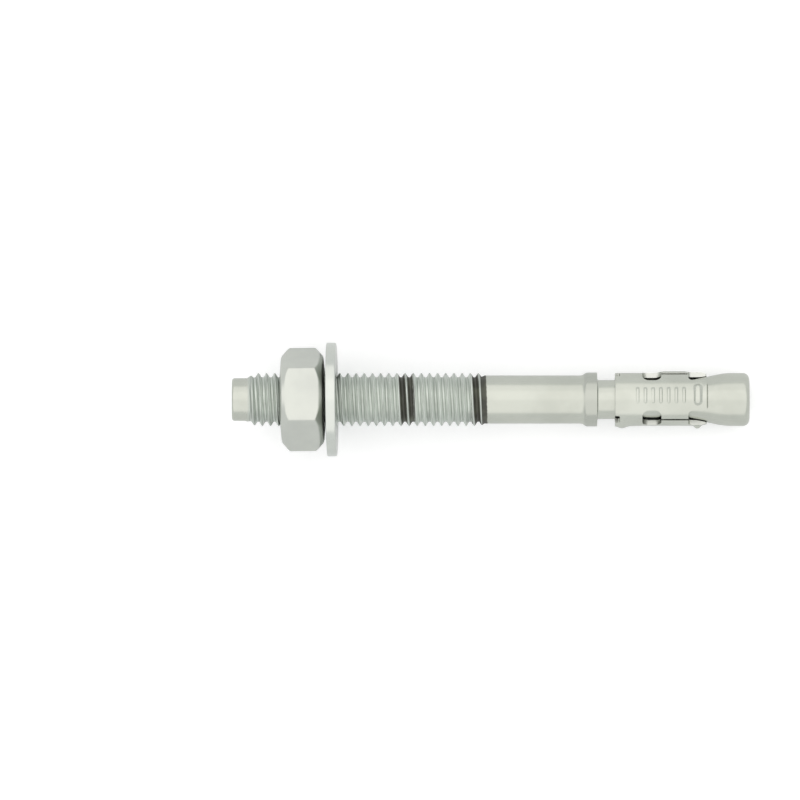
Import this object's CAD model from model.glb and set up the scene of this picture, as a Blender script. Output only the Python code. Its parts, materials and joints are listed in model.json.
import json
import logging
import math
from abc import ABC, abstractmethod
from dataclasses import dataclass, field
from enum import Enum
from typing import ClassVar, Protocol

import bmesh
import bpy
import numpy as np
from mathutils import Matrix, Vector


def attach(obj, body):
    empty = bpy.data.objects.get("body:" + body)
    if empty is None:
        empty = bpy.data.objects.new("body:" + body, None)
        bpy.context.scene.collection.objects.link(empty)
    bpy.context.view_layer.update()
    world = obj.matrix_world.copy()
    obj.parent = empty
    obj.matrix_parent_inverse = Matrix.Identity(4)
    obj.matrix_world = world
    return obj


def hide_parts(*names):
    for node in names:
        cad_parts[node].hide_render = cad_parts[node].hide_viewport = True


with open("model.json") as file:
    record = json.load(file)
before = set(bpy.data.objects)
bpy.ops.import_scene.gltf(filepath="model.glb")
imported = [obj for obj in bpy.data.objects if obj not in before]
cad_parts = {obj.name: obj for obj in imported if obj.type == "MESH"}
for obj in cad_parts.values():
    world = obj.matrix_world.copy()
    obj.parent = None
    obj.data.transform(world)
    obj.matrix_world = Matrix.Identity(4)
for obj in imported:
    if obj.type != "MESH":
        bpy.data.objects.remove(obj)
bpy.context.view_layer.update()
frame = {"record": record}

LOG = logging.getLogger("wedge_anchor")
MM = 0.001
TURN = 2.0 * math.pi
SIXTH = math.radians(60)
WELD = 2e-7  # points nearer than this are one, in metres
FACE_ATTRIBUTE = "coat"
Socket = bpy.types.NodeSocket


class Slot(Enum):
    """The record's material slots."""

    STUD = "stud_zinc"
    NUT = "nut_zinc"
    WASHER = "washer_zinc"
    CLIP = "clip_zinc"


class Body(Enum):
    """The bodies that the pieces ride on."""

    BOLT = "bolt"
    NUT = "nut"
    WASHER = "washer"
    CLIP = "clip"


class Node(Enum):
    """The CAD's solids, which the pieces stand for."""

    BOLT = "bolt"
    NUT = "hex_nut"
    WASHER = "washer"
    CLIP = "expansion_clip"


class SheetFace(Enum):
    """The faces of a stamped sheet, each with the number that its quads keep for the finish."""

    OUTSIDE = 0.0
    SHEARED = 1.0
    INSIDE = -1.0


# ---------------------------------------------------------------- shapes


@dataclass(frozen=True)
class StudAxis:
    """The stud's axis: every piece is placed by its distance from the stud's tip, its radius and
    its angle round the axis. Angle 0 faces away from the floor and a quarter turn faces +Y."""

    tip: np.ndarray
    along: np.ndarray
    away: np.ndarray
    side: np.ndarray

    @classmethod
    def from_record(cls, record: dict) -> "StudAxis":
        """Read the axis from the mount on the striking end.

        Args:
            record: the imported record.

        Returns:
            The axis, in metres.
        """
        end = next(m for m in record["mounts"] if m["name"] == "striking_end")
        along = -np.array(end["axis"])
        along /= np.linalg.norm(along)
        away = np.array([-along[2], 0.0, along[0]])
        return cls(np.array(end["pos_m"]), along, away, np.array([0.0, 1.0, 0.0]))

    @property
    def lean(self) -> float:
        """The angle by which the stud's far end dips below level, in radians."""
        return math.atan2(-self.along[2], self.along[0])

    def points(self, place: np.ndarray, radius: np.ndarray, angle: np.ndarray) -> np.ndarray:
        """Place points round the axis: tip + along * place + radius * (away * cos + side * sin).

        Args:
            place: distance from the tip along the stud, in millimetres.
            radius: distance from the axis, in millimetres.
            angle: angle round the axis, in radians.

        Returns:
            The points in metres, with the three coordinates as the last axis.
        """
        place, radius, angle = np.broadcast_arrays(place, radius, angle)
        outward = np.cos(angle)[..., None] * self.away + np.sin(angle)[..., None] * self.side
        return self.tip + MM * (place[..., None] * self.along + radius[..., None] * outward)

    def askew(self, points: np.ndarray, place: float, side_deg: float,
              away_deg: float) -> np.ndarray:
        """Turn points about a place on the axis, as a loose piece stands askew on the stud.
        Rodrigues' formula, with unit axis k: p cos + (k x p) sin + k (k . p) (1 - cos).

        Args:
            points: the points, in metres.
            place: distance of the turning point from the tip, in millimetres.
            side_deg: how far the half towards +Y leans to the tip, in degrees.
            away_deg: how far the half away from the floor leans to the tip, in degrees.

        Returns:
            The turned points in metres.
        """
        centre = self.tip + MM * place * self.along
        spin = np.radians(side_deg) * self.away - np.radians(away_deg) * self.side
        turn = np.linalg.norm(spin)
        k, p = spin / turn, points - centre
        level = (p @ k)[..., None] * k
        return centre + p * math.cos(turn) + np.cross(k, p) * math.sin(turn) + level * (
            1.0 - math.cos(turn))


def smooth_step(value: np.ndarray, low: float, high: float) -> np.ndarray:
    """Rise from 0 at low to 1 at high with level ends: 3t^2 - 2t^3 of the clamped fraction t."""
    part = np.clip((value - low) / (high - low), 0.0, 1.0)
    return part * part * (3.0 - 2.0 * part)


def soft_clamp(value: np.ndarray, blend: float) -> np.ndarray:
    """Clamp to 0..1 with rounded corners: half of sqrt(x^2 + e^2) - sqrt((x - 1)^2 + e^2) + 1."""
    return 0.5 * (np.hypot(value, blend) - np.hypot(value - 1.0, blend) + 1.0)


def soften(corners: np.ndarray, cuts: np.ndarray, steps: int = 5, leg_share: float = 0.45,
           guard: float = 1.1) -> np.ndarray:
    """Round the corners of open paths. Each inner corner is replaced by the circle's arc that meets
    both legs at its cut distance: (p0 (1-t)^2 + p2 t^2) / ((1-t)^2 + 2 w t (1-t) + t^2) from the
    corner, where w is the sine of half the angle between the legs. One guard point stands just
    outside each end of the arc, so that the flat parts stay flat under smooth shading.

    Args:
        corners: path corners, shaped (corners, ..., 2).
        cuts: cut distance of each corner in millimetres; the first and last are ignored.
        steps: spans in each rounded corner.
        leg_share: the most of a leg that a cut may take.
        guard: distance of a guard point from the corner, in cut distances.

    Returns:
        The path's points, shaped (points, ..., 2).
    """
    before = corners[:-2] - corners[1:-1]
    after = corners[2:] - corners[1:-1]
    reach_before = np.linalg.norm(before, axis=-1, keepdims=True)
    reach_after = np.linalg.norm(after, axis=-1, keepdims=True)
    before, after = before / reach_before, after / reach_after
    cosine = np.sum(before * after, axis=-1, keepdims=True)
    weight = np.sqrt(np.clip((1.0 - cosine) / 2.0, 0.0, 1.0))[:, None]
    wanted = np.reshape(cuts[1:-1], (-1,) + (1,) * (corners.ndim - 1))
    cut = np.minimum(wanted, leg_share * np.minimum(reach_before, reach_after))
    middle, start, end = corners[1:-1][:, None], (before * cut)[:, None], (after * cut)[:, None]
    t = np.linspace(0.0, 1.0, steps + 1).reshape((1, -1) + (1,) * (corners.ndim - 1))
    share = (1.0 - t) ** 2 + 2.0 * weight * t * (1.0 - t) + t**2
    curve = middle + (start * (1.0 - t) ** 2 + end * t**2) / share
    rounded = np.concatenate([middle + guard * start, curve, middle + guard * end], axis=1)
    return np.concatenate([corners[:1], rounded.reshape((-1,) + corners.shape[1:]), corners[-1:]])


def columns(count: int) -> np.ndarray:
    """Evenly spread angles round a full turn, first and last on the same line."""
    return np.linspace(0.0, TURN, count + 1)


@dataclass(frozen=True)
class ThreadForm:
    """A 60 degree thread. In one pitch the radius holds at the crest, falls down a straight flank,
    holds at the root and rises again; its corners are rounded as rolling leaves them. Half the
    crest and one flank are given as shares of the pitch, and blend rounds the corners."""

    pitch: float
    crest_place: float
    crest_radius: float
    root_radius: float
    crest_share: float = 1.0 / 16.0
    flank_share: float = 5.0 / 16.0
    blend: float = 0.14

    def radius(self, place: np.ndarray, angle: np.ndarray) -> np.ndarray:
        """The thread's radius: the distance from the nearest crest, as a share of the pitch, gives
        the height through a clamped ramp. The crest falls back by a pitch in each turn.

        Args:
            place: distance from the tip, in millimetres.
            angle: angle round the axis, in radians.

        Returns:
            The radius in millimetres.
        """
        turns = (place - self.crest_place) / self.pitch + angle / TURN
        off = np.abs(turns - np.round(turns))
        height = soft_clamp((self.crest_share + self.flank_share - off) / self.flank_share,
                            self.blend)
        return self.root_radius + (self.crest_radius - self.root_radius) * height

    def rows(self, start: float, end: float, angle: np.ndarray) -> np.ndarray:
        """Places of rows that follow the helix. They are cut off at the two end places, where they
        run together into one ring. The rows crowd where the profile bends.

        Args:
            start: place of the first ring.
            end: place of the last ring.
            angle: the columns' angles.

        Returns:
            Places shaped (rows, columns).
        """
        # From a crest to the root, as shares of the pitch
        half = np.array([0.0, 0.045, 0.07, 0.10, 0.16, 0.22, 0.28, 0.335, 0.37, 0.40, 0.45])
        share = np.concatenate([half, [0.5], 1.0 - half[:0:-1]])
        first = math.floor((start - self.crest_place) / self.pitch) - 1
        last = math.ceil((end - self.crest_place) / self.pitch) + 1
        steps = (np.arange(first, last + 1)[:, None] + share).ravel()
        rows = self.crest_place + self.pitch * (steps[:, None] - angle / TURN)
        return np.clip(rows, start, end)


def ring_path(axis: StudAxis, path: np.ndarray, angle: np.ndarray) -> np.ndarray:
    """Carry a profile round the axis.

    Args:
        axis: the stud's axis.
        path: places and radii, shaped (points, 2), or (points, columns, 2) if columns differ.
        angle: the columns' angles.

    Returns:
        Point grid shaped (points, columns, 3), in metres.
    """
    if path.ndim == 2:
        path = np.repeat(path[:, None], len(angle), axis=1)
    return axis.points(path[..., 0], path[..., 1], angle)


def add_surface(name: str, grids: list[np.ndarray], faces: list[SheetFace] | None = None,
                sharp_deg: float = 35.0) -> bpy.types.Object:
    """Join grids of points into one mesh object. A grid's rows run along the stud and its columns
    run round it, so each quad (row, next row, next column) faces outwards. Corners that coincide
    are welded, which also closes poles and turns pinched quads into triangles.

    Args:
        name: the object's name.
        grids: point grids shaped (rows, columns, 3), in metres.
        faces: for each grid, which face of the sheet it is. Its quads keep that as an attribute,
            which the finish reads.
        sharp_deg: edges that bend by more than this stay sharp.

    Returns:
        The object, at the origin.
    """
    quads, first = [], 0
    for grid in grids:
        index = first + np.arange(grid.shape[0] * grid.shape[1]).reshape(grid.shape[:2])
        corners = (index[:-1, :-1], index[1:, :-1], index[1:, 1:], index[:-1, 1:])
        quads.append(np.stack(corners, axis=-1).reshape(-1, 4))
        first += index.size
    points = np.concatenate([grid.reshape(-1, 3) for grid in grids])
    mesh = bpy.data.meshes.new(name)
    mesh.from_pydata(points, [], np.concatenate(quads))
    if faces:
        kept = mesh.attributes.new(FACE_ATTRIBUTE, "FLOAT", "FACE")
        kept.data.foreach_set("value", np.repeat([face.value for face in faces],
                                                 [len(quad) for quad in quads]))
    welded = bmesh.new()
    welded.from_mesh(mesh)
    bmesh.ops.remove_doubles(welded, verts=welded.verts, dist=WELD)
    bmesh.ops.dissolve_degenerate(welded, edges=welded.edges, dist=WELD)
    welded.to_mesh(mesh)
    welded.free()
    mesh.shade_smooth()
    mesh.set_sharp_from_angle(angle=math.radians(sharp_deg))
    piece = bpy.data.objects.new(name, mesh)
    bpy.context.scene.collection.objects.link(piece)
    return piece


# ---------------------------------------------------------------- materials


def linear(colour: str) -> tuple[float, float, float, float]:
    """Turn an sRGB colour into a linear one.

    Args:
        colour: the colour in hex, such as "#C0C4BD".

    Returns:
        Linear red, green, blue and an alpha of 1.
    """
    parts = [int(colour.lstrip("#")[k:k + 2], 16) / 255.0 for k in (0, 2, 4)]
    red, green, blue = (p / 12.92 if p <= 0.04045 else ((p + 0.055) / 1.055) ** 2.4
                        for p in parts)
    return red, green, blue, 1.0


def add_node(tree: bpy.types.NodeTree, kind: str, links: dict[str | int, Socket] | None = None,
             values: dict[str | int, object] | None = None, **settings: object) -> bpy.types.Node:
    """Add one node with its settings, constants and links.

    Args:
        tree: the node tree.
        kind: Blender's name of the node type.
        links: input name or number, and the output socket that feeds it.
        values: input name or number, and its constant.
        settings: the node's own properties.

    Returns:
        The new node.
    """
    made = tree.nodes.new(kind)
    for name, value in settings.items():
        setattr(made, name, value)
    for name, value in (values or {}).items():
        made.inputs[name].default_value = value
    for name, socket in (links or {}).items():
        tree.links.new(socket, made.inputs[name])
    return made


def bare_tree(owner: bpy.types.Material | bpy.types.World) -> bpy.types.NodeTree:
    """Give a material or world an empty node tree.

    Args:
        owner: the material or world.

    Returns:
        Its node tree.
    """
    owner.use_nodes = True
    owner.node_tree.nodes.clear()
    return owner.node_tree


@dataclass
class Surface:
    """A surface while its material is made: the position of a point, and what the layers laid so
    far have made of its colour, roughness and metal. Positions are in millimetres, with X along the
    stud from its tip. A Mix node's colours are its inputs 6 and 7 and its output 2, and its numbers
    are its inputs 2 and 3 and its output 0."""

    tree: bpy.types.NodeTree
    position: Socket
    along: Socket
    side: Socket
    radius: Socket
    colour: Socket
    roughness: Socket
    metal: Socket | None = None

    def cover(self, share: Socket, colour: Socket | str, roughness: float | None = None) -> None:
        """Lay another coat over a share of the surface.

        Args:
            share: how much of the surface is covered, from 0 to 1.
            colour: the coat's colour, as a socket or in hex.
            roughness: its roughness, or None for the roughness of what lies below.
        """
        links, values = {"Factor": share, 6: self.colour}, {}
        if isinstance(colour, str):
            values[7] = linear(colour)
        else:
            links[7] = colour
        self.colour = add_node(self.tree, "ShaderNodeMix", links, values,
                               data_type="RGBA").outputs[2]
        if roughness is not None:
            self.roughness = add_node(self.tree, "ShaderNodeMix",
                                      {"Factor": share, 2: self.roughness}, {3: roughness},
                                      data_type="FLOAT").outputs[0]

    def stretch(self, along: Socket, ends: tuple[float, float], edge: float) -> Socket:
        """Mark a stretch of the stud.

        Args:
            along: distance from the tip.
            ends: where the stretch starts and ends.
            edge: half the width of its soft ends.

        Returns:
            A socket that is 1 within the stretch and 0 elsewhere.
        """
        low, high = ends
        rise = add_node(self.tree, "ShaderNodeMapRange", {"Value": along},
                        {"From Min": low - edge, "From Max": low + edge})
        fall = add_node(self.tree, "ShaderNodeMapRange", {"Value": along},
                        {"From Min": high - edge, "From Max": high + edge, "To Min": 1.0,
                         "To Max": 0.0})
        both = add_node(self.tree, "ShaderNodeMath",
                        {0: rise.outputs["Result"], 1: fall.outputs["Result"]},
                        operation="MULTIPLY")
        return both.outputs["Value"]


class Layer(Protocol):
    """What a finish may carry over its plain coat."""

    def lay(self, surface: Surface) -> None:
        """Lay it over the surface."""


@dataclass(frozen=True)
class SheetCoat:
    """Zinc on a stamped and rolled sheet: even on the sheared edges, but thin and dull on the
    inside, where the plating current hardly reaches. The sheet's faces say which they are."""

    sheared_colour: str = "#C8CBC5"
    sheared_roughness: float = 0.34
    inside_colour: str = "#A2A59D"
    inside_roughness: float = 0.5

    def lay(self, surface: Surface) -> None:
        """Lay the coat over the sheared edges and the inside.

        Args:
            surface: the clip's surface.
        """
        # 1 on sheared edges and -1 inside. A share below 0 covers nothing
        sheared = add_node(surface.tree, "ShaderNodeAttribute",
                           attribute_name=FACE_ATTRIBUTE).outputs["Fac"]
        inside = add_node(surface.tree, "ShaderNodeMath", {0: sheared}, {1: -1.0},
                          operation="MULTIPLY").outputs["Value"]
        surface.cover(sheared, self.sheared_colour, self.sheared_roughness)
        surface.cover(inside, self.inside_colour, self.inside_roughness)


@dataclass(frozen=True)
class RolledThread:
    """Zinc on a rolled thread. The dies leave fine uneven lines round the stud and a duller coat on
    crests and roots, and they burnish the flanks wherever the thread is full."""

    ends_mm: tuple[float, float]
    full_mm: tuple[float, float]
    colour: str = "#BEC5BE"
    line_colour: str = "#9AA19A"
    flank_colour: str = "#DADFDA"
    roughness: float = 0.4
    line_mm: tuple[float, float, float] = (0.3, 5.0, 5.0)
    flank_radius_mm: float = 4.5
    flank_reach_mm: tuple[float, float] = (0.12, 0.38)
    edge_mm: float = 0.3
    full_edge_mm: float = 0.8

    def lay(self, surface: Surface) -> None:
        """Lay the lined coat over the threaded length, brighter near the flanks' middle radius.

        Args:
            surface: the stud's surface.
        """
        tree = surface.tree
        lined = add_node(tree, "ShaderNodeMapping", {"Vector": surface.position},
                         {"Scale": tuple(1.0 / size for size in self.line_mm)})
        noise = add_node(tree, "ShaderNodeTexNoise", {"Vector": lined.outputs["Vector"]},
                         {"Scale": 1.0, "Detail": 2.0, "Roughness": 0.65})
        amount = add_node(tree, "ShaderNodeMapRange", {"Value": noise.outputs["Fac"]},
                          {"From Min": 0.38, "From Max": 0.66})
        lines = add_node(tree, "ShaderNodeMix", {"Factor": amount.outputs["Result"]},
                         {6: linear(self.colour), 7: linear(self.line_colour)},
                         data_type="RGBA")
        off = add_node(tree, "ShaderNodeMath", {0: surface.radius}, {1: self.flank_radius_mm},
                       operation="SUBTRACT")
        depth = add_node(tree, "ShaderNodeMath", {0: off.outputs["Value"]}, operation="ABSOLUTE")
        near, far = self.flank_reach_mm
        flank = add_node(tree, "ShaderNodeMapRange", {"Value": depth.outputs["Value"]},
                         {"From Min": near, "From Max": far, "To Min": 1.0, "To Max": 0.0})
        full = surface.stretch(surface.along, self.full_mm, self.full_edge_mm)
        bright = add_node(tree, "ShaderNodeMath", {0: flank.outputs["Result"], 1: full},
                          operation="MULTIPLY")
        coat = add_node(tree, "ShaderNodeMix",
                        {"Factor": bright.outputs["Value"], 6: lines.outputs[2]},
                        {7: linear(self.flank_colour)}, data_type="RGBA")
        zone = surface.stretch(surface.along, self.ends_mm, self.edge_mm)
        surface.cover(zone, coat.outputs[2], self.roughness)


@dataclass(frozen=True)
class UpsetCollar:
    """Zinc on the collar, whose steel is roughened by upsetting and takes a greyer coat."""

    ends_mm: tuple[float, float]
    colour: str = "#ADB1A9"
    edge_mm: float = 0.12

    def lay(self, surface: Surface) -> None:
        """Lay the greyer coat over the collar."""
        surface.cover(surface.stretch(surface.along, self.ends_mm, self.edge_mm), self.colour)


@dataclass(frozen=True)
class DepthMarks:
    """The setting depth marks: matt black paint that a roller has left in the grooves of the
    thread, thinner in places, with the crests left bare. The marks follow the thread's slant."""

    marks_mm: tuple[tuple[float, float], ...]
    colour: str = "#3A3C34"
    thin_colour: str = "#565A4D"
    roughness: float = 0.55
    patch_mm: float = 2.5
    crest_radius_mm: float = 4.72
    crest_edge_mm: float = 0.06
    slant: float = 0.035
    ragged_mm: float = 0.625
    wander_mm: float = 0.12
    edge_mm: float = 0.08

    def painted(self, surface: Surface) -> Socket:
        """Find where the paint lies: within the marks' ragged ends, and below the crests.

        Args:
            surface: the stud's surface.

        Returns:
            A socket that is 1 on paint and 0 elsewhere.
        """
        tree = surface.tree
        ragged = add_node(tree, "ShaderNodeTexNoise", {"Vector": surface.position},
                          {"Scale": 1.0 / self.ragged_mm, "Detail": 2.0})
        wander = add_node(tree, "ShaderNodeMapRange", {"Value": ragged.outputs["Fac"]},
                          {"To Min": -self.wander_mm, "To Max": self.wander_mm})
        uneven = add_node(tree, "ShaderNodeMath",
                          {0: surface.along, 1: wander.outputs["Result"]}, operation="ADD")
        along = add_node(tree, "ShaderNodeMath",
                         {0: surface.side, 2: uneven.outputs["Value"]}, {1: self.slant},
                         operation="MULTIPLY_ADD").outputs["Value"]
        total, *others = [surface.stretch(along, ends, self.edge_mm) for ends in self.marks_mm]
        for mark in others:
            total = add_node(tree, "ShaderNodeMath", {0: total, 1: mark},
                             operation="MAXIMUM").outputs["Value"]
        sunk = add_node(tree, "ShaderNodeMapRange", {"Value": surface.radius},
                        {"From Min": self.crest_radius_mm - self.crest_edge_mm,
                         "From Max": self.crest_radius_mm + self.crest_edge_mm,
                         "To Min": 1.0, "To Max": 0.0})
        filled = add_node(tree, "ShaderNodeMath", {0: total, 1: sunk.outputs["Result"]},
                          operation="MULTIPLY")
        return filled.outputs["Value"]

    def lay(self, surface: Surface) -> None:
        """Lay the paint over the thread's grooves. Paint is no metal.

        Args:
            surface: the stud's surface.
        """
        tree, paint = surface.tree, self.painted(surface)
        patches = add_node(tree, "ShaderNodeTexNoise", {"Vector": surface.position},
                           {"Scale": 1.0 / self.patch_mm, "Detail": 2.0})
        thin = add_node(tree, "ShaderNodeMapRange", {"Value": patches.outputs["Fac"]},
                        {"From Min": 0.45, "From Max": 0.75})
        ink = add_node(tree, "ShaderNodeMix", {"Factor": thin.outputs["Result"]},
                       {6: linear(self.colour), 7: linear(self.thin_colour)}, data_type="RGBA")
        surface.cover(paint, ink.outputs[2], self.roughness)
        surface.metal = add_node(tree, "ShaderNodeMath", {1: paint}, {0: 1.0},
                                 operation="SUBTRACT").outputs["Value"]


@dataclass(frozen=True)
class ZincPlating:
    """Bright zinc electroplating on cold-worked steel: a thin crystalline metal coat with a satin,
    faintly greenish grey lustre. It is cloudy over a few millimetres, where the coat is thicker,
    and finely grained under a low light."""

    name: str
    colour: str
    cloud_colour: str
    roughness: float
    roughness_spread: float = 0.02
    cloud_mm: float = 7.0
    grain_mm: float = 0.35
    grain_height_mm: float = 0.0015
    grain_stretch: tuple[float, float, float] = (1.0, 1.0, 1.0)
    layers: tuple[Layer, ...] = ()

    def locate(self, tree: bpy.types.NodeTree, axis: StudAxis) -> Socket:
        """Turn and move Object coordinates so that X runs along the stud from its tip.

        Args:
            tree: the node tree.
            axis: the stud's axis.

        Returns:
            The position in millimetres.
        """
        where = add_node(tree, "ShaderNodeTexCoord")
        home = Matrix.Rotation(-axis.lean, 3, "Y") @ Vector(axis.tip) * -1.0 / MM
        local = add_node(tree, "ShaderNodeMapping", {"Vector": where.outputs["Object"]},
                         {"Location": home, "Rotation": (0.0, -axis.lean, 0.0),
                          "Scale": (1.0 / MM,) * 3})
        return local.outputs["Vector"]

    def grain(self, tree: bpy.types.NodeTree, position: Socket) -> Socket:
        """Make the coat's grain. A stretch under 1 draws it out that way.

        Args:
            tree: the node tree.
            position: the position in millimetres.

        Returns:
            A socket about 0.5, higher on the grains.
        """
        stretched = add_node(tree, "ShaderNodeMapping", {"Vector": position},
                             {"Scale": tuple(s / self.grain_mm for s in self.grain_stretch)})
        noise = add_node(tree, "ShaderNodeTexNoise", {"Vector": stretched.outputs["Vector"]},
                         {"Scale": 1.0, "Detail": 2.0, "Roughness": 0.6})
        return noise.outputs["Fac"]

    def coat(self, tree: bpy.types.NodeTree, position: Socket, grain: Socket) -> Surface:
        """Make the plain coat: two close colours in clouds, and a roughness that follows the grain.

        Args:
            tree: the node tree.
            position: the position in millimetres.
            grain: the grain's socket.

        Returns:
            The surface, for the layers to cover.
        """
        clouds = add_node(tree, "ShaderNodeTexNoise", {"Vector": position},
                          {"Scale": 1.0 / self.cloud_mm, "Detail": 3.0, "Roughness": 0.55})
        shade = add_node(tree, "ShaderNodeMapRange", {"Value": clouds.outputs["Fac"]},
                         {"From Min": 0.35, "From Max": 0.68}, interpolation_type="SMOOTHSTEP")
        colour = add_node(tree, "ShaderNodeMix", {"Factor": shade.outputs["Result"]},
                          {6: linear(self.colour), 7: linear(self.cloud_colour)},
                          data_type="RGBA")
        rough = add_node(tree, "ShaderNodeMapRange", {"Value": grain},
                         {"From Min": 0.3, "From Max": 0.7,
                          "To Min": self.roughness - self.roughness_spread,
                          "To Max": self.roughness + self.roughness_spread})
        parts = add_node(tree, "ShaderNodeSeparateXYZ", {"Vector": position}).outputs
        across = add_node(tree, "ShaderNodeCombineXYZ", {"Y": parts["Y"], "Z": parts["Z"]})
        radius = add_node(tree, "ShaderNodeVectorMath", {0: across.outputs["Vector"]},
                          operation="LENGTH")
        return Surface(tree, position, parts["X"], parts["Y"], radius.outputs["Value"],
                       colour.outputs[2], rough.outputs["Result"])

    def make(self, axis: StudAxis) -> bpy.types.Material:
        """Build the material: the plain coat, its layers, and the grain as a slight bump.

        Args:
            axis: the stud's axis, which the pattern is lined up with.

        Returns:
            The material.
        """
        material = bpy.data.materials.new(self.name)
        tree = bare_tree(material)
        position = self.locate(tree, axis)
        grain = self.grain(tree, position)
        surface = self.coat(tree, position, grain)
        for layer in self.layers:
            layer.lay(surface)
        bump = add_node(tree, "ShaderNodeBump", {"Height": grain},
                        {"Strength": 1.0, "Distance": self.grain_height_mm * MM})
        shader = add_node(tree, "ShaderNodeBsdfPrincipled",
                          {"Normal": bump.outputs["Normal"], "Base Color": surface.colour,
                           "Roughness": surface.roughness}, {"Metallic": 1.0})
        if surface.metal:
            tree.links.new(surface.metal, shader.inputs["Metallic"])
        add_node(tree, "ShaderNodeOutputMaterial", {"Surface": shader.outputs["BSDF"]})
        return material


# ---------------------------------------------------------------- sub-assemblies


@dataclass
class Part(ABC):
    """A loose part of the anchor, made of one piece. Places are in millimetres from the stud's tip,
    and every other size is in millimetres too."""

    axis: StudAxis
    body: ClassVar[Body]
    slot: ClassVar[Slot]
    node: ClassVar[Node]

    @abstractmethod
    def build(self) -> bpy.types.Object:
        """Build the piece, bare."""

    def dress(self, zinc: ZincPlating) -> bpy.types.Object:
        """Build the piece, plate it and give it its place in the frame.

        Args:
            zinc: its finish.

        Returns:
            The finished piece.
        """
        piece = self.build()
        piece.data.materials.append(zinc.make(self.axis))
        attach(piece, self.body.value)
        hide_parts(self.node.value)
        return piece


@dataclass
class Stud(Part):
    """The stud: point, rolled thread, shank, collar, neck and conical end, all in one surface."""

    body: ClassVar[Body] = Body.BOLT
    slot: ClassVar[Slot] = Slot.STUD
    node: ClassVar[Node] = Node.BOLT
    thread: ThreadForm = field(default_factory=lambda: ThreadForm(
        pitch=1.5, crest_place=3.745, crest_radius=4.9, root_radius=4.09))
    point_radius: float = 3.95
    chamfer_length: float = 0.3
    chamfer_inset: float = 0.32
    lip_width: float = 0.25
    lip_fall: float = 0.02
    dish_depth: float = 0.3
    dish_inset: float = 1.2
    thread_from: float = 1.5
    thread_grows: tuple[float, float] = (2.2, 4.7)
    thread_sinks: tuple[float, float] = (45.5, 46.8)
    thread_to: float = 48.0
    shank_radius: float = 4.44
    collar_radius: float = 4.98
    neck_radius: float = 3.6
    land_radius: float = 4.9
    collar_start: float = 64.4
    collar_top: float = 65.2
    neck_start: float = 67.22
    cone_start: float = 84.67
    land_start: float = 90.57
    length: float = 95.22
    end_fillet: float = 1.2
    column_count: int = 96

    def threaded_rows(self, angle: np.ndarray) -> np.ndarray:
        """The threaded length as a helical grid. The thread grows out of the plain point over its
        first turns and sinks into the shank over its last: plain + (thread - plain) * fade.

        Args:
            angle: the columns' angles.

        Returns:
            Point grid from a ring on the point to a ring on the shank.
        """
        place = self.thread.rows(self.thread_from, self.thread_to, angle)
        grown = smooth_step(place, *self.thread_grows)
        kept = 1.0 - smooth_step(place, *self.thread_sinks)
        radius = self.thread.radius(place, angle)
        radius = self.point_radius + (radius - self.point_radius) * grown
        radius = self.shank_radius + (radius - self.shank_radius) * kept
        return self.axis.points(place, radius, angle)

    def point_path(self) -> np.ndarray:
        """Profile of the plain point: dished end face, narrow lip, chamfer and plain length.

        Returns:
            Places and radii of the path's points.
        """
        rim = self.point_radius - self.chamfer_inset
        # Each corner's place, its radius and how far it is rounded
        corners = np.array([
            (self.dish_depth, 0.0, 0.0),
            (self.dish_depth, rim - self.dish_inset, 0.5),
            (self.lip_fall, rim - self.lip_width, 0.2),
            (0.0, rim, 0.14),
            (self.chamfer_length, self.point_radius, 0.25),
            (self.thread_from, self.point_radius, 0.0)])
        return soften(corners[:, :2], corners[:, 2])

    def end_path(self) -> np.ndarray:
        """Profile of the rest: shank, collar with its lead, shoulder, neck, cone, land, round end.

        Returns:
            Places and radii of the path's points.
        """
        # Each corner's place, its radius and how far it is rounded
        corners = np.array([
            (self.thread_to, self.shank_radius, 0.0),
            (self.collar_start, self.shank_radius, 0.3),
            (self.collar_top, self.collar_radius, 0.3),
            (self.neck_start, self.collar_radius, 0.12),
            (self.neck_start, self.neck_radius, 0.35),
            (self.cone_start, self.neck_radius, 1.6),
            (self.land_start, self.land_radius, 1.8),
            (self.length, self.land_radius, self.end_fillet),
            (self.length, 0.0, 0.0)])
        return soften(corners[:, :2], corners[:, 2], steps=8)

    def build(self) -> bpy.types.Object:
        """Join the three stretches into one closed surface.

        Returns:
            The stud.
        """
        angle = columns(self.column_count)
        grids = [ring_path(self.axis, self.point_path(), angle), self.threaded_rows(angle),
                 ring_path(self.axis, self.end_path(), angle)]
        return add_surface("stud_turned", grids)


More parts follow.
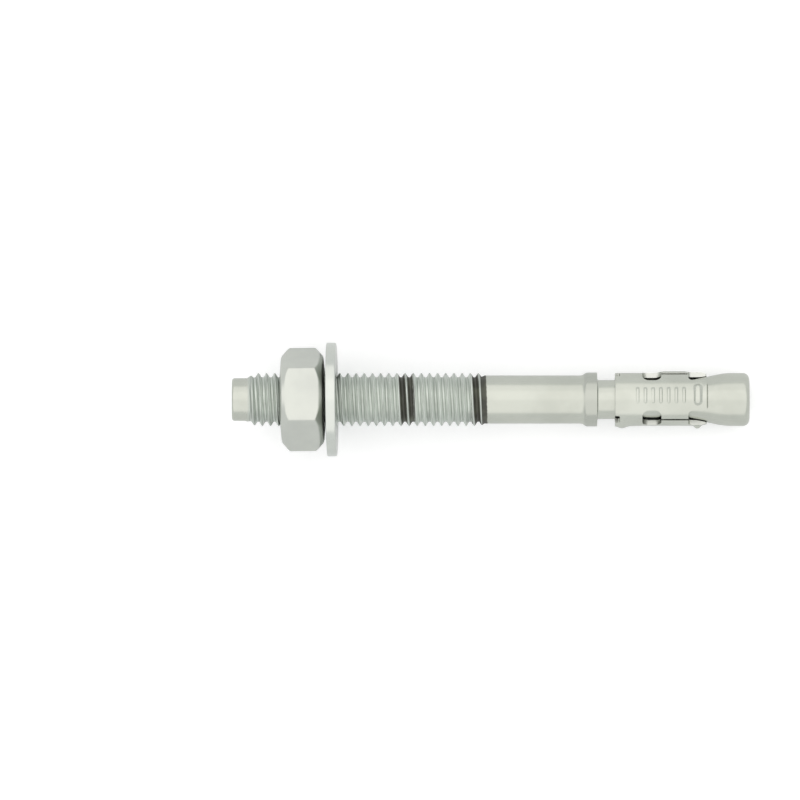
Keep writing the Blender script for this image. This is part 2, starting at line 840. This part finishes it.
@dataclass
class Nut(Part):
    """The hexagon nut: crowned and chamfered faces, flats with slightly rounded corners, a
    countersink at each end of the bore and the thread inside it. Forging draws the flats in near
    the faces, by flat_edges at the front and the back. The nut stands turned on the stud, and as
    far askew as the play in its thread lets it."""

    body: ClassVar[Body] = Body.NUT
    slot: ClassVar[Slot] = Slot.NUT
    node: ClassVar[Node] = Node.NUT
    front: float = 8.93
    height: float = 8.2
    across_flats: float = 16.7
    corner_radius: float = 0.35
    face_radius: float = 7.9
    face_crown: float = 0.22
    chamfer_deg: float = 40.5
    flat_edges: tuple[float, float] = (1.2, 0.95)
    arc_blend: float = 0.06
    face_round: float = 0.35
    flat_round: float = 0.3
    mouth_radius: float = 5.45
    bore_radius: float = 5.05
    countersink: float = 0.5
    thread: ThreadForm = field(default_factory=lambda: ThreadForm(
        pitch=1.5, crest_place=4.495, crest_radius=4.24, root_radius=5.05,
        crest_share=1.0 / 15.0, flank_share=0.33))
    thread_fade: tuple[float, float] = (0.25, 1.1)
    turn_deg: float = 7.0
    side_deg: float = 0.6
    away_deg: float = 1.2
    flat_columns: int = 14
    corner_columns: int = 4

    @property
    def flat_half_angle(self) -> float:
        """Half the angle that a flat takes between its rounded corners, in radians."""
        reach = self.across_flats / 2 - self.corner_radius
        return math.atan2(reach * math.tan(SIXTH / 2), self.across_flats / 2)

    def angles(self) -> np.ndarray:
        """Angles of the columns from the middle of a flat: even ones across each flat, and a few
        round each corner.

        Returns:
            The angles in radians, over a full turn.
        """
        half = self.flat_half_angle
        flat = np.linspace(-half, half, self.flat_columns + 1)
        corner = np.linspace(half, SIXTH - half, self.corner_columns + 1)[1:-1]
        starts = SIXTH * np.arange(6)
        return np.append((starts[:, None] + np.concatenate([flat, corner])).ravel(), TURN - half)

    def outline(self, angle: np.ndarray) -> np.ndarray:
        """Radius of the hexagon: apothem / cos on a flat, and on a corner the far crossing of the
        ray with the corner's circle, m cos + sqrt(r^2 - m^2 sin^2) with its centre at radius m.

        Args:
            angle: angle from the middle of a flat, in radians.

        Returns:
            The radius in millimetres.
        """
        off = angle - SIXTH * np.round(angle / SIXTH)
        flat = self.across_flats / 2 / np.cos(off)
        centre = (self.across_flats / 2 - self.corner_radius) / math.cos(SIXTH / 2)
        turn = SIXTH / 2 - np.abs(off)
        under = np.maximum(self.corner_radius**2 - (centre * np.sin(turn)) ** 2, 0.0)
        round_corner = centre * np.cos(turn) + np.sqrt(under)
        return np.where(np.abs(off) <= self.flat_half_angle + 1e-9, flat, round_corner)

    def shell_path(self, angle: np.ndarray) -> np.ndarray:
        """Profile of the outside by column, from the front mouth to the back mouth. The chamfer is
        a cone, so it cuts the flats in arcs: place = crown + (hexagon radius - face radius) *
        slope. The flats themselves are drawn in near the faces, which straightens the arcs: the
        larger of the arc a and the flat's edge b, joined by half of a + b + sqrt((a - b)^2 + e^2).

        Args:
            angle: the columns' angles.

        Returns:
            Path shaped (points, columns, 2).
        """
        radius = self.outline(angle)
        slope = math.tan(math.radians(self.chamfer_deg))
        cone = self.face_crown + (radius - self.face_radius) * slope
        front_fall, back_fall = (0.5 * (cone + edge + np.hypot(cone - edge, self.arc_blend))
                                 for edge in self.flat_edges)
        back = self.front + self.height
        # Each corner's place, its radius and how far it is rounded
        corners = [
            (self.front, self.mouth_radius, 0.0),
            (self.front + self.face_crown, self.face_radius, self.face_round),
            (self.front + front_fall, radius, self.flat_round),
            (back - back_fall, radius, self.flat_round),
            (back - self.face_crown, self.face_radius, self.face_round),
            (back, self.mouth_radius, 0.0)]
        path = np.stack([np.stack(np.broadcast_arrays(place, reach, angle)[:2], axis=-1)
                         for place, reach, _ in corners])
        return soften(path, np.array([cut for _, _, cut in corners]))

    def bore_path(self, angle: np.ndarray) -> np.ndarray:
        """The bore by column as helical rows, countersinks included: the cone radius falls from the
        mouth to the bore, and the thread stands inwards from it, fading in at each end.

        Args:
            angle: the columns' angles round the stud.

        Returns:
            Path shaped (points, columns, 2) from the back to the front, so that it faces the stud.
        """
        back = self.front + self.height
        place = self.thread.rows(self.front, back, angle)
        edge = np.minimum(place - self.front, back - place)
        cone = np.maximum(self.mouth_radius - edge * (self.mouth_radius - self.bore_radius)
                          / self.countersink, self.bore_radius)
        inward = self.bore_radius - self.thread.radius(place, angle)
        radius = cone - inward * smooth_step(edge, *self.thread_fade)
        return np.stack([place, radius], axis=-1)[::-1]

    def build(self) -> bpy.types.Object:
        """Join the outside and the bore at the two mouths, turned by the nut's own angle and askew.

        Returns:
            The nut.
        """
        flat_angle = self.angles()
        angle = flat_angle + math.radians(self.turn_deg)
        paths = (self.shell_path(flat_angle), self.bore_path(angle))
        middle = self.front + self.height / 2
        return add_surface("nut_forged", [
            self.axis.askew(ring_path(self.axis, path, angle), middle, self.side_deg, self.away_deg)
            for path in paths])


@dataclass
class Washer(Part):
    """The punched washer. The punch rolls one edge over and shears the other, and the washer hangs
    a little askew on the stud."""

    body: ClassVar[Body] = Body.WASHER
    slot: ClassVar[Slot] = Slot.WASHER
    node: ClassVar[Node] = Node.WASHER
    start: float = 17.5
    thickness: float = 1.8
    outer_radius: float = 10.485
    hole_radius: float = 5.25
    sheared_edge: float = 0.12
    rolled_edge: float = 0.32
    side_deg: float = 0.5
    away_deg: float = 1.4
    column_count: int = 128

    def build(self) -> bpy.types.Object:
        """Carry the section round the axis and stand it askew. The section starts and ends in the
        middle of the front face.

        Returns:
            The washer.
        """
        angle = columns(self.column_count)
        front, back = self.start, self.start + self.thickness
        middle_radius = (self.outer_radius + self.hole_radius) / 2
        # Each corner's place, its radius and how far it is rounded
        corners = np.array([
            (front, middle_radius, 0.0),
            (front, self.outer_radius, self.sheared_edge),
            (back, self.outer_radius, self.rolled_edge),
            (back, self.hole_radius, self.rolled_edge),
            (front, self.hole_radius, self.sheared_edge),
            (front, middle_radius, 0.0)])
        ring = ring_path(self.axis, soften(corners[:, :2], corners[:, 2]), angle)
        middle = self.start + self.thickness / 2
        return add_surface("washer_punched", [
            self.axis.askew(ring, middle, self.side_deg, self.away_deg)])


@dataclass(frozen=True)
class SpringBack:
    """How far rolling leaves one finger off the true radius, in millimetres. Its free end may stand
    out by spread and be drawn in again towards the tip. Its rear may bulge, and from the window on
    it may hug the neck; both fade out towards the joints with the next fingers."""

    spread: float = 0.0
    drawn_in: float = 0.0
    bulge: float = 0.0
    hug: float = 0.0
    spread_from: tuple[float, float] = (7.2, 9.2)
    drawn_from: tuple[float, float] = (12.6, 14.0)
    hug_from: tuple[float, float] = (3.0, 5.0)
    bulge_place: float = 1.3
    bulge_width: float = 0.95
    to_joint_deg: float = 60.0
    fade_deg: float = 25.0

    def lift(self, local: np.ndarray, off: np.ndarray) -> np.ndarray:
        """Add the four up: the bulge is exp(-((local - place) / width)^2), the others soft steps.

        Args:
            local: place from the clip's rear edge.
            off: angle from the finger's middle, in degrees.

        Returns:
            Radial offset in millimetres.
        """
        bulge = np.exp(-((local - self.bulge_place) / self.bulge_width) ** 2)
        inside = smooth_step(self.to_joint_deg - np.abs(off), 0.0, self.fade_deg)
        rear = self.bulge * bulge - self.hug * smooth_step(local, *self.hug_from)
        free = self.spread * smooth_step(local, *self.spread_from)
        return free - self.drawn_in * smooth_step(local, *self.drawn_from) + rear * inside


@dataclass(frozen=True)
class Bead:
    """The bead pressed out near a finger's tip, across the finger."""

    place: float = 15.15
    height: float = 0.5
    crown: float = 0.2
    half_width: float = 0.95
    half_arc_deg: float = 14.0

    def rise(self, local: np.ndarray, off: np.ndarray, radius: float) -> np.ndarray:
        """Height of the bead: level on its crown, it falls smoothly with the distance from an arc
        round the clip, which ends the bead in domes.

        Args:
            local: place from the clip's rear edge.
            off: angle from the finger's middle, in degrees.
            radius: the clip's radius.

        Returns:
            The height in millimetres.
        """
        past = np.maximum(np.abs(off) - self.half_arc_deg, 0.0) * math.radians(1) * radius
        far = np.hypot(local - self.place, past)
        return self.height * (1.0 - smooth_step(far, self.crown, self.half_width))


@dataclass(frozen=True)
class RibRow:
    """A row of short plain ribs pressed out along a finger's middle, each lying across it. Their
    sides fall over half_width, and their ends over half_length, both measured from the middle."""

    count: int = 7
    first: float = 4.1
    spacing: float = 1.42
    middle_deg: float = -2.0
    height: float = 0.24
    half_width: tuple[float, float] = (0.06, 0.44)
    half_length: tuple[float, float] = (1.15, 1.6)

    def rise(self, local: np.ndarray, off: np.ndarray, radius: float) -> np.ndarray:
        """Height of the ribs: each is the product of a soft box along the clip and one round it.

        Args:
            local: place from the clip's rear edge.
            off: angle from the finger's middle, in degrees.
            radius: the clip's radius.

        Returns:
            The height in millimetres.
        """
        turns = (local - self.first) / self.spacing
        number = np.clip(np.round(turns), 0, self.count - 1)
        along = np.abs(turns - number) * self.spacing
        across = np.abs(off - self.middle_deg) * math.radians(1) * radius
        bar = 1.0 - smooth_step(along, *self.half_width)
        return self.height * bar * (1.0 - smooth_step(across, *self.half_length))


@dataclass
class Clip(Part):
    """The expansion clip: one stamped sheet rolled round the neck. Three fingers are joined by webs
    at the rear. Along each joint lie a small notch, an oval window, a slit and a wide mouth; one
    web is open, where the rolled sheet closes. The first finger carries the ribs."""

    body: ClassVar[Body] = Body.CLIP
    slot: ClassVar[Slot] = Slot.CLIP
    node: ClassVar[Node] = Node.CLIP
    start: float = 70.5
    length: float = 16.85
    radius: float = 4.9
    sheet: float = 0.9
    joint_deg: float = 71.0
    half_slit: float = 0.23
    notch: float = 0.88
    notch_corner: float = 0.35
    window_place: float = 6.75
    window_half_length: float = 1.75
    window_half_width: float = 2.13
    window_corner: float = 1.3
    mouth_length: float = 3.4
    mouth_half_width: float = 2.1
    mouth_corner: float = 0.8
    tip_corner: float = 0.3
    fingers: tuple[SpringBack, ...] = (
        SpringBack(spread=0.06), SpringBack(spread=0.33, drawn_in=0.2),
        SpringBack(bulge=0.42, hug=0.05))
    bead: Bead = Bead()
    ribs: RibRow = RibRow()
    edge_round: float = 0.07
    edge_fall: float = 0.8
    tip_drop: float = 0.24
    tip_drop_start: float = 15.75
    cone_start: float = 84.17
    cone_radius: float = 3.65
    cone_slope: float = 1.3 / 5.9
    cone_blend: float = 0.05
    break_width: float = 0.06
    break_above_deg: float = 70.0
    column_count: int = 64

    def outline(self) -> tuple[np.ndarray, np.ndarray, np.ndarray]:
        """Half of the opening along a joint: the place of each outline point from the rear edge,
        and its distance from the joint line round the clip. In order: round-cornered notch, web,
        round-cornered window, slit, rounded mouth, and the slightly rounded tip. Each point also
        gets the place where its row crosses the finger's middle. That is short of the outline where
        the opening widens and beyond it where it narrows, so that no row folds over the next.

        Returns:
            Local places, half gaps and middle places, in millimetres.
        """
        quarter = np.linspace(0.0, math.pi / 2, 9)
        fine = np.linspace(0.0, math.pi / 2, 17)
        start, end = (self.window_place - self.window_half_length,
                      self.window_place + self.window_half_length)
        curve, straight = self.window_corner, self.window_half_width - self.window_corner
        notch_side = self.notch - self.notch_corner
        mouth = self.length - self.mouth_length
        corner = mouth + self.mouth_corner
        # Each run's places, its half gaps, and where its last row crosses the finger's middle
        runs = [
            (np.linspace(0.0, notch_side, 7), np.full(7, self.notch), notch_side - 0.05),
            (notch_side + self.notch_corner * np.sin(quarter[1:]),
             notch_side + self.notch_corner * np.cos(quarter[1:]), self.notch + 0.05),
            (np.full(5, self.notch), np.linspace(notch_side, 0.0, 6)[1:], self.notch + 0.35),
            (np.linspace(self.notch, start, 30)[1:], np.zeros(29), start - 0.3),
            (np.full(4, start), np.linspace(0.0, straight, 5)[1:], start - 0.1),
            (start + curve * (1.0 - np.cos(fine[1:])), straight + curve * np.sin(fine[1:]),
             self.window_place - 0.4),
            (np.linspace(start + curve, end - curve, 7)[1:-1], np.full(5, self.window_half_width),
             self.window_place + 0.4),
            (end - curve * (1.0 - np.sin(fine)), straight + curve * np.cos(fine), end + 0.1),
            (np.full(4, end), np.linspace(straight, self.half_slit, 6)[1:-1], end + 0.3),
            (np.linspace(end, mouth, 40), np.full(40, self.half_slit), mouth - 0.7),
            (np.full(6, mouth),
             np.linspace(self.half_slit, self.mouth_half_width - self.mouth_corner, 7)[1:],
             mouth - 0.2),
            (mouth + self.mouth_corner * (1.0 - np.cos(quarter[1:])),
             self.mouth_half_width - self.mouth_corner * (1.0 - np.sin(quarter[1:])), corner - 0.1),
            (np.linspace(corner, self.length - self.tip_corner, 26)[1:],
             np.full(25, self.mouth_half_width), self.length - (self.tip_corner + 0.1)),
            (self.length - self.tip_corner * (1.0 - np.sin(quarter[1:])),
             self.mouth_half_width + self.tip_corner * (1.0 - np.cos(quarter[1:])), self.length),
        ]
        ends = np.cumsum([len(run[0]) for run in runs]) - 1
        middles = np.interp(np.arange(ends[-1] + 1), np.append(0, ends),
                            np.append(0.0, [run[2] for run in runs]))
        return (np.concatenate([run[0] for run in runs]), np.concatenate([run[1] for run in runs]),
                middles)

    def finger(self, middle: float, gap_low: np.ndarray, gap_high: np.ndarray,
               place: np.ndarray, middles: np.ndarray) -> np.ndarray:
        """One finger with its third of the rear band, as a grid of (place, angle). The two outer
        columns follow the outline; from there each row's place blends to its middle place.

        Args:
            middle: angle of the finger's middle, in radians.
            gap_low: half gaps along its lower joint.
            gap_high: half gaps along its upper joint.
            place: local places of the outline points.
            middles: local places of the rows at the finger's middle.

        Returns:
            Grid shaped (rows, columns, 2) of local place and angle.
        """
        across = np.linspace(-1.0, 1.0, self.column_count + 1)
        blend = 1.0 - across**4
        local = place[:, None] + (middles - place)[:, None] * blend
        low = middle - SIXTH + gap_low / self.radius
        high = middle + SIXTH - gap_high / self.radius
        share = (across + 1.0) / 2.0
        angle = low[:, None] * (1.0 - share) + high[:, None] * share
        return np.stack([local, angle], axis=-1)

    def rounding(self, local: np.ndarray) -> np.ndarray:
        """How far the outside falls at the rear edge and the tip: quarter ellipses,
        1 - sqrt(1 - t^2) of the way t into the edge, and before the tip a slow drop.

        Args:
            local: place from the rear edge.

        Returns:
            The fall in millimetres.
        """
        rear = np.clip((self.edge_round - local) / self.edge_round, 0.0, 1.0)
        tip = np.clip((local - self.length + self.edge_round) / self.edge_round, 0.0, 1.0)
        round_edge = 2.0 - np.sqrt(1.0 - rear**2) - np.sqrt(1.0 - tip**2)
        return self.edge_fall * self.edge_round * round_edge + self.tip_drop * smooth_step(
            local, self.tip_drop_start, self.length)

    def inside(self, local: np.ndarray, outside: np.ndarray) -> np.ndarray:
        """Radius of the inside: the outside less the sheet, but at the tip opened to a cone that
        clears the stud's, joined by half of a + b + sqrt((a - b)^2 + e^2).

        Args:
            local: place from the rear edge.
            outside: radius of the outside, without bead, ribs or rounded edges.

        Returns:
            The radius in millimetres.
        """
        sheet = outside - self.sheet
        cone = self.cone_radius + self.cone_slope * (self.start + local - self.cone_start)
        return 0.5 * (sheet + cone + np.hypot(sheet - cone, self.cone_blend))

    def rims(self, outer: np.ndarray, inner: np.ndarray, low: np.ndarray,
             high: np.ndarray) -> list[np.ndarray]:
        """The sheared edges of one finger: strips that join the outside to the inside round it,
        except along a web, where both rows of a span have no gap.

        Args:
            outer: points of the outside, shaped (rows, columns, 3).
            inner: points of the inside.
            low: half gaps along the lower joint.
            high: half gaps along the upper joint.

        Returns:
            Point grids that face out of the sheet.
        """
        strips = [np.stack([inner[0], outer[0]]), np.stack([outer[-1], inner[-1]])]
        for column, pair, gap in ((0, (inner, outer), low), (-1, (outer, inner), high)):
            strip = np.stack([face[:, column] for face in pair], axis=1)
            closed = np.flatnonzero(gap < 1e-9)
            if len(closed):
                strips += [strip[:closed[0] + 1], strip[closed[-1]:]]
            else:
                strips.append(strip)
        return strips

    def build(self) -> bpy.types.Object:
        """Build each finger's outside, inside and sheared edges, and break the edges.

        Returns:
            The clip.
        """
        place, gap, middles = self.outline()
        open_gap = np.maximum(gap, self.half_slit)
        count = len(self.fingers)
        walls, edges = [], []
        for number, spring in enumerate(self.fingers):
            middle = math.radians(self.joint_deg - 180.0 / count) + number * TURN / count
            # The sheet closes between the last finger and the one before it
            low = open_gap if number == count - 1 else gap
            high = open_gap if number == count - 2 else gap
            grid = self.finger(middle, low, high, place, middles)
            local, angle = grid[..., 0], grid[..., 1]
            off = np.degrees(angle - middle)
            plain = self.radius + spring.lift(local, off)
            pressed = self.bead.rise(local, off, self.radius) - self.rounding(local)
            if number == 0:
                pressed = pressed + self.ribs.rise(local, off, self.radius)
            outer = self.axis.points(self.start + local, plain + pressed, angle)
            inner = self.axis.points(self.start + local, self.inside(local, plain), angle)
            walls += [outer, inner[:, ::-1]]
            edges += self.rims(outer, inner, low, high)
        faces = [SheetFace.OUTSIDE, SheetFace.INSIDE] * count + [SheetFace.SHEARED] * len(edges)
        piece = add_surface("clip_rolled", walls + edges, faces)
        bevel = piece.modifiers.new("broken_edges", "BEVEL")
        bevel.width = self.break_width * MM
        bevel.segments = 2
        bevel.limit_method = "ANGLE"
        bevel.angle_limit = math.radians(self.break_above_deg)
        bevel.loop_slide = False
        bevel.harden_normals = True
        return piece


# ---------------------------------------------------------------- studio


@dataclass(frozen=True)
class SoftPanel:
    """A flat lamp that hangs level over the anchor. Its brightness is what a mirror would show, and
    its sizes are in metres."""

    name: str
    brightness: float
    size: tuple[float, float]
    middle: tuple[float, float] = (0.0, 0.0)
    height: float = 1.0
    colour: str = "#FFF6F3"

    def hang(self) -> None:
        """Add the lamp, hidden from the camera itself. Its power is pi * brightness * area."""
        data = bpy.data.lights.new(self.name, "AREA")
        data.shape = "RECTANGLE"
        data.size, data.size_y = self.size
        data.energy = math.pi * self.brightness * self.size[0] * self.size[1]
        data.color = linear(self.colour)[:3]
        lamp = bpy.data.objects.new(self.name, data)
        lamp.location = (*self.middle, self.height)
        lamp.visible_camera = False
        bpy.context.scene.collection.objects.link(lamp)


@dataclass(frozen=True)
class WhitePaper:
    """Matt white paper, which the anchor lies on. Rays that show it see it a little brighter than
    it is lit, so that it reads as white and keeps the object's shadow."""

    colour: str = "#EEF1F2"
    glow: float = 0.31
    mirrored_glow: float = 0.1

    def make(self) -> bpy.types.Material:
        """Build the material: paper without gloss, which glows for camera rays and glossy ones.

        Returns:
            The material.
        """
        material = bpy.data.materials.new("white_paper_matt")
        tree = bare_tree(material)
        path = add_node(tree, "ShaderNodeLightPath")
        mirrored = add_node(tree, "ShaderNodeMath", {0: path.outputs["Is Glossy Ray"]},
                            {1: self.mirrored_glow}, operation="MULTIPLY")
        glow = add_node(tree, "ShaderNodeMath",
                        {0: path.outputs["Is Camera Ray"], 2: mirrored.outputs["Value"]},
                        {1: self.glow}, operation="MULTIPLY_ADD")
        paper = add_node(tree, "ShaderNodeBsdfPrincipled",
                         {"Emission Strength": glow.outputs["Value"]},
                         {"Base Color": linear(self.colour), "Roughness": 1.0,
                          "Specular IOR Level": 0.0, "Emission Color": (1.0, 1.0, 1.0, 1.0)})
        add_node(tree, "ShaderNodeOutputMaterial", {"Surface": paper.outputs["BSDF"]})
        return material


@dataclass
class Studio:
    """Pale floor, soft light from above and a long-lens camera that looks square at the stud. What
    it looks at and its distance from there are in millimetres, and the floor's size in metres."""

    axis: StudAxis
    look_place: float = 30.94
    look_side: float = -0.092
    distance: float = 2454.0
    lens: float = 600.0
    sensor_width: float = 36.0
    clip_end: float = 10.0
    world_strength: float = 0.65
    floor_half: float = 3.0
    paper: WhitePaper = WhitePaper()
    panels: tuple[SoftPanel, ...] = (
        SoftPanel("wide_panel", 0.42, (4.5, 5.8), (0.0, 0.4)),
        SoftPanel("key_strip", 0.14, (4.5, 0.9), (0.0, 0.43), 0.98))

    def camera(self) -> None:
        """Look back along the direction away from the floor, with +Y up in the picture."""
        data = bpy.data.cameras.new("camera")
        data.lens = self.lens
        data.sensor_width = self.sensor_width
        data.clip_end = self.clip_end
        camera = bpy.data.objects.new("camera", data)
        bpy.context.scene.collection.objects.link(camera)
        place = self.axis.points(np.array(self.look_place), np.array(self.distance), np.array(0.0))
        place = place + MM * self.look_side * self.axis.side
        turn = np.stack([self.axis.along, self.axis.side, self.axis.away], axis=1)
        camera.matrix_world = Matrix.Translation(Vector(place)) @ Matrix(turn).to_4x4()
        bpy.context.scene.camera = camera

    def world(self) -> None:
        """Light every side evenly. Rays that show the background itself see plain white."""
        world = bpy.data.worlds.new("studio")
        tree = bare_tree(world)
        path = add_node(tree, "ShaderNodeLightPath")
        seen = path.outputs["Is Camera Ray"]
        for name in ("Is Glossy Ray", "Is Transmission Ray"):
            seen = add_node(tree, "ShaderNodeMath", {0: seen, 1: path.outputs[name]},
                            operation="MAXIMUM").outputs["Value"]
        strength = add_node(tree, "ShaderNodeMapRange", {"Value": seen},
                            {"To Min": self.world_strength, "To Max": 1.0})
        light = add_node(tree, "ShaderNodeBackground", {"Strength": strength.outputs["Result"]},
                         {"Color": (1.0, 1.0, 1.0, 1.0)})
        add_node(tree, "ShaderNodeOutputWorld", {"Surface": light.outputs["Background"]})
        bpy.context.scene.world = world

    def floor(self) -> None:
        """Lay a wide plain sheet of white paper under the anchor."""
        half = self.floor_half
        grid = np.array([[(-half, -half, 0.0), (-half, half, 0.0)],
                         [(half, -half, 0.0), (half, half, 0.0)]])
        floor = add_surface("floor", [grid])
        floor.data.materials.append(self.paper.make())

    def build(self) -> None:
        """Set up camera, lamps, world, floor and view."""
        self.camera()
        for panel in self.panels:
            panel.hang()
        self.world()
        self.floor()
        bpy.context.scene.view_settings.view_transform = "Standard"


def main() -> None:
    """Set up the studio, then build and dress the anchor part by part."""
    logging.basicConfig(level=logging.INFO, format="%(name)s %(message)s")
    axis = StudAxis.from_record(frame["record"])
    Studio(axis).build()
    LOG.info("studio: camera, lamps, world and floor")
    stud_zinc = ZincPlating(
        "zinc_plated_rolled_steel_with_paint", "#BBBFB6", "#B4B8AF", 0.24,
        grain_stretch=(0.25, 1.0, 1.0),
        layers=(RolledThread(ends_mm=(3.0, 46.6), full_mm=(5.0, 46.0)),
                UpsetCollar(ends_mm=(64.8, 67.2)),
                DepthMarks(marks_mm=((30.6, 33.4), (44.0, 46.9)))))
    nut_zinc = ZincPlating("zinc_plated_forged_steel", "#C0C4BD", "#B9BDB7", 0.33)
    washer_zinc = ZincPlating("zinc_plated_punched_steel", "#C5CAC4", "#BEC3BE", 0.2)
    clip_zinc = ZincPlating(
        "zinc_plated_pressed_sheet", "#BDC1B8", "#B6BAB1", 0.24, layers=(SheetCoat(),))
    for part, zinc in ((Stud(axis), stud_zinc), (Nut(axis), nut_zinc),
                       (Washer(axis), washer_zinc), (Clip(axis), clip_zinc)):
        piece = part.dress(zinc)
        LOG.info("%s: %d faces, rides on %s", piece.name, len(piece.data.polygons),
                 part.body.value)


if __name__ == "__main__":
    main()
